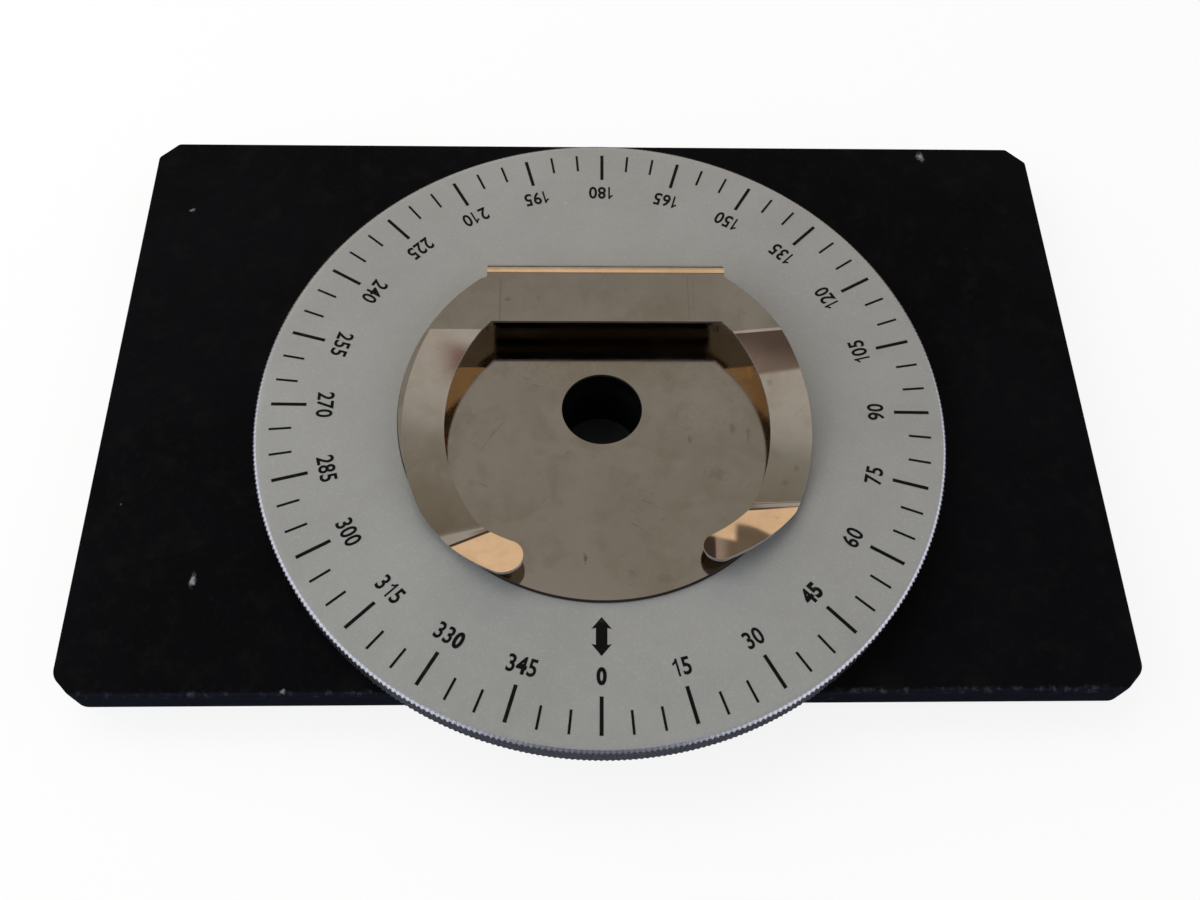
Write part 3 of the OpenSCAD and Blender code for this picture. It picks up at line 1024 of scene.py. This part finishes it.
# The leaf starts as a section turned most of the way round: its rows, their angle, the
# section's first radius, and the distance between the section's points
LEAF_ROWS = 900
LEAF_SWEEP = math.radians(350)
SECTION_R = 20
SECTION_STEP = 0.1


def make_clip_leaf():
    """The upper C of the clip: its section, sheared edges and all, swept round and bent."""
    # The shear rounds the sheet's upper edges a little and breaks its lower ones
    eased, broken = 0.012, 0.04
    edge_top, edge_foot = SHEET / 2 - eased, broken - SHEET / 2
    # Share of the way out, inset from the sheared edge, and height in the sheet
    section = [(0, 0.0, edge_top)]
    section += [(share, eased, SHEET / 2) for share in spread(0, 1, 17)]
    section += [(1, 0.0, edge_top), (1, 0.0, edge_foot)]
    section += [(share, broken, -SHEET / 2) for share in spread(1, 0, 5)]
    section += [(0, 0.0, edge_foot)]
    rows = leaf_rows(LEAF_ROWS)
    last = LEAF_ROWS - 1
    bm = bmesh.new()
    points = [(0, -SECTION_R - i * SECTION_STEP, 0) for i in range(len(section))]
    turn_section(bm, points, -LEAF_SWEEP, last, closed=False)
    # The row and the point of the section that each vertex stands for
    found = {}
    for v in bm.verts:
        turn = -math.atan2(v.co.x, -v.co.y) % (2 * math.pi)
        if turn > LEAF_SWEEP + math.radians(2):
            turn = 0.0
        row = min(round(turn / LEAF_SWEEP * last), last)
        found[v] = (row, section[round((v.co.xy.length - SECTION_R) / SECTION_STEP)])
    for face in bm.faces:
        broad = all(abs(found[v][1][2]) == SHEET / 2 for v in face.verts)
        face.material_index = 0 if broad else 1
    # How far aside the height is taken again, for the slope
    aside = 0.004
    for v, (row, (share, inset, height)) in found.items():
        angle = rows[row]
        if angle < -math.pi:
            angle += 2 * math.pi
        x, y, joined = leaf_place(angle, share, inset)
        z = leaf_height(x, y)
        normal = Vector((z - leaf_height(x + aside, y), z - leaf_height(x, y + aside), aside)).normalized()
        if joined:
            height = math.copysign(SHEET / 2, height)
        v.co = Vector((x, y, z)) + normal * height
    merge(bm, 2 * SAME)
    bmesh.ops.dissolve_degenerate(bm, dist=SAME, edges=bm.edges)
    face_out(bm)
    finishes = {"finish": LEAF_NICKEL, "edge_finish": SHEARED_EDGE, "smooth": 30.0, "flat_faces": True}
    piece("clip_upper_leaf", bm, "leaf", "clip_metal", ["clip_leaf"], **finishes)


# Printed scale


def on_dial(angle):
    """Turns a print from the front of the dial to its place on the scale."""
    return Matrix.Rotation(math.radians(angle + SCALE_TURN), 4, "Z")


def make_ticks():
    """A tick every five degrees, longer and thicker at the numbers."""
    bm = bmesh.new()
    for angle in range(0, 360, 5):
        inner, width = SHORT_TICK if angle % 15 else LONG_TICK
        move = Matrix.Translation((0, -(inner + TICK_OUTER) / 2, INK_Z))
        shape = Matrix.Diagonal((width, TICK_OUTER - inner, INK, 1))
        bmesh.ops.create_cube(bm, size=1, matrix=on_dial(angle) @ move @ shape)
    piece("scale_ticks", bm, "turntable", "dial_metal", finish=SCALE_INK)


def figure_one(weight):
    """The figure 1 with its flag, as tall as the numbers."""
    stem = 0.13
    thick = 0.23 + 2 * weight
    outline = [
        (stem + thick, 1.0),
        (stem + thick, -1.0),
        (stem, -1.0),
        (stem, 0.52),
        (-0.08, 0.38),
        (-0.32, 0.3),
        (-0.32, 0.3 + thick),
        (-0.02, 0.7),
        (0.17, 1.0),
    ]
    bm = bmesh.new()
    fill_outline(bm, loop_of(bm, outline))
    bmesh.ops.solidify(bm, geom=bm.faces[:], thickness=INK)
    face_out(bm)
    return mesh_of("figure_1", bm)


def digit(sign, weight):
    """A printed figure's mesh, the middle of it across and up, and its height."""
    if sign == "1":
        return figure_one(weight), 0.0, 0.0, NUMBER_TALL
    curve = bpy.data.curves.new("figure_" + sign, "FONT")
    curve.body = sign
    curve.offset = weight
    curve.resolution_u = 4
    curve.extrude = INK / 2
    obj = bpy.data.objects.new("figure_" + sign, curve)
    mesh = bpy.data.meshes.new_from_object(obj)
    bpy.data.objects.remove(obj)
    xs = [v.co.x for v in mesh.vertices]
    ys = [v.co.y for v in mesh.vertices]
    return mesh, (min(xs) + max(xs)) / 2, (min(ys) + max(ys)) / 2, max(ys) - min(ys)


def make_numbers():
    """The numbers of the scale, read from outside the dial."""
    bm = bmesh.new()
    made = {}
    for angle in range(0, 360, 15):
        text = str(angle)
        for i, sign in enumerate(text):
            weight = HEAVY_FIGURE if (angle, i) in HEAVY_FIGURES else LIGHT_FIGURE
            if (sign, weight) not in made:
                made[sign, weight] = digit(sign, weight)
            mesh, mid_x, mid_y, tall = made[sign, weight]
            scale = NUMBER_TALL / tall
            across = (i - (len(text) - 1) / 2) * NUMBER_STEP
            move = (
                on_dial(angle)
                @ Matrix.Translation((across, -NUMBER_R, INK_Z))
                @ Matrix.Diagonal((scale * NUMBER_NARROW, scale, 1, 1))
                @ Matrix.Translation((-mid_x, -mid_y, 0))
            )
            before = len(bm.verts)
            bm.from_mesh(mesh)
            bmesh.ops.transform(bm, matrix=move, verts=bm.verts[before:])
    merge(bm, SAME)
    piece("scale_numbers", bm, "turntable", "dial_metal", finish=SCALE_INK)


def make_arrow():
    """The double arrow printed inside the 0 of the scale."""
    # From the point out to the barb, in to the shaft, and down to the middle
    quarter = [(0, 2.2), (1.1, 0.85), (0.62, 0.95), (0.62, 0), (0, 0)]
    bm = bmesh.new()
    fill_outline(bm, loop_of(bm, quarter))
    for axis in "XY":
        whole = bm.faces[:] + bm.edges[:] + bm.verts[:]
        bmesh.ops.mirror(bm, geom=whole, axis=axis, merge_dist=2 * SAME)
    merge(bm, 2 * SAME)
    face_out(bm)
    bmesh.ops.solidify(bm, geom=bm.faces[:], thickness=INK)
    face_out(bm)
    move = on_dial(0) @ Matrix.Translation((0, -ARROW_R, INK_Z))
    bmesh.ops.transform(bm, matrix=move, verts=bm.verts)
    piece("scale_arrow", bm, "turntable", "dial_metal", finish=SCALE_INK)


make_plate()
make_dial()
make_clip_base()
make_clip_leaf()
make_ticks()
make_numbers()
make_arrow()


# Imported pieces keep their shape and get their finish
PACKED_FINISHES = {
    "hub": HUB_BLACK,
    "bearing_bush": BUSH_PLASTIC,
    "glide_ring": BUSH_PLASTIC,
    "slip_washer": BUSH_PLASTIC,
    "disc_spring": SPRING_STEEL,
    "hub_screws": SCREW_STEEL,
    "clip_bond": FILM,
}
for node, finish in PACKED_FINISHES.items():
    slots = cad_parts[node].data.materials
    slots.clear()
    slots.append(finish)


# Floor and studio


def stage_piece(name, bm, z, finish):
    """A flat surface at a height, that isn't part of the object."""
    bmesh.ops.translate(bm, vec=(0, 0, z * MM), verts=bm.verts)
    mesh = mesh_of(name, bm)
    mesh.materials.append(finish)
    put(name, mesh)


def mix_shaders(share, below, above):
    """A shader between two others."""
    return node_on("ShaderNodeMixShader", {0: share, 1: below, 2: above}).outputs[0]


def floor_finish():
    """Pale, white to the camera with the object's shadow on it, and dim in reflections."""
    material = bpy.data.materials.new("pale_floor")
    tree = node_tree(material)
    matt = add(tree, "ShaderNodeBsdfDiffuse", inputs={"Color": (0.94, 0.94, 0.94, 1)})
    glow = add(tree, "ShaderNodeEmission", inputs={"Color": (1, 1, 1, 1), "Strength": 1.0})
    dim = add(tree, "ShaderNodeEmission", inputs={"Color": (0.05, 0.053, 0.066, 1), "Strength": 1.0})
    path = add(tree, "ShaderNodeLightPath").outputs
    seen = math_node("ADD", path["Is Camera Ray"], path["Is Transmission Ray"], clamp=True)
    whole = mix_shaders(times(seen, 0.86), matt.outputs[0], glow.outputs[0])
    whole = mix_shaders(path["Is Glossy Ray"], whole, dim.outputs[0])
    add(tree, "ShaderNodeOutputMaterial", inputs={"Surface": whole})
    return material


def make_floor():
    """A pale floor, and a dark patch under the light hole, painted shade that keeps the view down the hole
    dark.
    """
    half_floor, patch_radius = 1500, 14
    bm = bmesh.new()
    bmesh.ops.create_grid(bm, x_segments=2, y_segments=2, size=half_floor * MM)
    stage_piece("floor", bm, FLOOR_Z - 0.02, floor_finish())
    bm = bmesh.new()
    bmesh.ops.create_circle(bm, cap_ends=True, segments=48, radius=patch_radius * MM)
    hole_shade_patch = bare_finish("hole_shade_patch", (0.07, 0.077, 0.08), 0.6)
    stage_piece("dark_patch", bm, FLOOR_Z - 0.01, hole_shade_patch)


# Colours of the ceiling and the back wall, from overhead down to the horizon behind the
# object: how far towards the back each stop lies, and its colour at half its real level
CEILING = [
    (0.10, (0.112, 0.100, 0.083)),
    (0.13, (0.128, 0.116, 0.097)),
    (0.168, (0.152, 0.144, 0.129)),
    (0.188, (0.225, 0.215, 0.203)),
    (0.215, (0.256, 0.243, 0.232)),
    (0.32, (0.275, 0.246, 0.236)),
    (0.352, (0.147, 0.137, 0.123)),
    (0.60, (0.147, 0.137, 0.123)),
    (0.635, (0.10, 0.07, 0.056)),
    (0.68, (0.09, 0.062, 0.05)),
    (0.71, (0.533, 0.38, 0.25)),
]
# The world's strength. Its colours are written at half their real level
WORLD_LEVEL = 2.0
HALF_WHITE = (0.5, 0.5, 0.5)


def ceiling_colours(x, y, z):
    """The ceiling and the warm back wall, with a brown beam across, faint on the left."""
    to_right = step(x, -0.02, 0.05)
    # The ceiling lies a little askew
    askew = step(z, 0.9, 0.95)
    slope = times(mix_value(to_right, 0.2, 0.27), askew)
    lean = math_node("MULTIPLY_ADD", x, slope, y)
    ceiling = node_on("ShaderNodeValToRGB", {"Fac": lean})
    stops = ceiling.color_ramp.elements
    while len(stops) < len(CEILING):
        stops.new(0.5)
    for element, (at, colour) in zip(stops, CEILING):
        element.position = at
        element.color = (*colour, 1.0)
    # The beam's near and far edges, on its left and on its right
    slant = math_node("MULTIPLY_ADD", x, -0.1457, y)
    near_left = step(lean, 0.213, 0.234)
    near_right = step(slant, 0.1468, 0.1503)
    far_left = step(lean, 0.259, 0.243)
    far_right = step(lean, 0.288, 0.278)
    near = mix_value(to_right, near_left, near_right)
    far = mix_value(to_right, far_left, far_right)
    fading = mix_value(step(x, -0.117, -0.083), 0.04, 0.95)
    beam = times(times(near, far), mix_value(to_right, fading, 1.0))
    across = step(lean, 0.231, 0.264)
    brown = mix(across, (0.132, 0.101, 0.088), (0.062, 0.044, 0.037))
    brown = mix(to_right, (0.120, 0.074, 0.062), brown)
    colours = mix(beam, ceiling.outputs["Color"], brown)
    # Paler overhead, and dim towards the front
    colours = mix(step(y, 0.05, -0.15), colours, (0.30, 0.30, 0.30))
    colours = mix(step(y, -0.02, -0.25), colours, (0.06, 0.06, 0.065))
    # The warm wall is dimmer towards its foot
    return mix(step(z, 0.46, 0.30), colours, (0.33, 0.25, 0.18))


def shelf_on(x, y, z, wall):
    """The wall with a shelf low on it, that the right tip reflects."""
    # Its lower edge is a shallow curve on the right and a slanted line on the left
    past_left = minus(x, 0.127)
    curve = math_node("MULTIPLY_ADD", times(past_left, past_left), 7.5, 0.5228)
    line = math_node("MULTIPLY_ADD", x, 0.15, 0.5318 - 0.15 * 0.1095)
    over_curve = step(minus(z, curve), -0.001, 0.0015)
    over_line = step(minus(z, line), -0.0015, 0.002)
    shelf = mix_value(step(x, 0.1225, 0.1285), over_line, over_curve)
    shelf = times(shelf, step(z, 0.569, 0.559))
    shelf = times(shelf, step(x, 0.084, 0.089))
    shelf = times(shelf, step(x, 0.229, 0.219))
    shelf = times(shelf, step(y, 0.7, 0.75))
    lilac, brown, shadow = (0.196, 0.151, 0.129), (0.101, 0.075, 0.055), (0.033, 0.023, 0.019)
    colour = mix(step(x, 0.111, 0.123), lilac, brown)
    colour = mix(step(x, 0.1093, 0.1073), colour, shadow)
    return mix(shelf, wall, colour)


def make_world():
    """A dim ceiling, pale walls at the sides, a warm wall at the back and a dark front."""
    world = bpy.data.worlds.new("studio")
    bpy.context.scene.world = world
    tree = node_tree(world)
    x, y, z = axes(add(tree, "ShaderNodeTexCoord").outputs["Generated"])
    ceiling = shelf_on(x, y, z, ceiling_colours(x, y, z))
    # How far the level part of the direction turns towards the back or the front
    level = math_node("SQRT", minus(1.0001, times(z, z)))
    facing = math_node("DIVIDE", y, level)
    at_front = step(facing, -0.8, -0.95)
    walls = mix(at_front, (0.56, 0.57, 0.62), (0.09, 0.09, 0.11))
    whole = mix(step(z, 0.78, 0.68), ceiling, walls)
    whole = mix(step(facing, 0.45, 0.75), whole, ceiling)
    # White where the camera sees past the floor
    to_camera = add(tree, "ShaderNodeLightPath").outputs["Is Camera Ray"]
    whole = mix(to_camera, whole, HALF_WHITE)
    sky = add(tree, "ShaderNodeBackground", inputs={"Color": whole, "Strength": WORLD_LEVEL})
    add(tree, "ShaderNodeOutputWorld", inputs={"Surface": sky.outputs[0]})


def make_lamp(name, spot, size, power):
    """A soft round lamp that is aimed at the dial and doesn't show in reflections."""
    light = bpy.data.lights.new(name, "AREA")
    light.shape = "DISK"
    light.size = size
    light.energy = power
    light.color = (1.0, 1.0, 0.99)
    obj = put(name, light)
    obj.location = spot
    obj.rotation_euler = (-Vector(spot)).to_track_quat("-Z", "Y").to_euler()
    obj.visible_glossy = False


# The camera's place in metres, and the ways that it looks and that its frame runs
CAMERA_AT = Vector((-0.004176, -0.070440, 0.130769))
CAMERA_FORWARD = Vector((0.02808, 0.46774, -0.88340))
CAMERA_RIGHT = Vector((0.99960, -0.01334, 0.02472))
LENS = 35.68


def make_camera():
    """The photograph's camera, as the scale's 72 lines give it."""
    data = bpy.data.cameras.new("camera")
    data.lens = LENS
    data.sensor_width = 36.0
    data.clip_start = 0.01
    data.clip_end = 20.0
    camera = put("camera", data)
    forward = CAMERA_FORWARD.normalized()
    right = (CAMERA_RIGHT - forward * CAMERA_RIGHT.dot(forward)).normalized()
    turn = Matrix((right, right.cross(forward), -forward)).transposed()
    camera.matrix_world = Matrix.Translation(CAMERA_AT) @ turn.to_4x4()
    bpy.context.scene.camera = camera


make_floor()
make_world()
make_lamp("soft_key", (-0.1, 0.35, 0.7), size=0.4, power=1.2)
make_lamp("soft_side", (-0.31, 0.03, 0.2), size=0.5, power=0.86)
make_camera()
bpy.context.scene.view_settings.view_transform = "Standard"
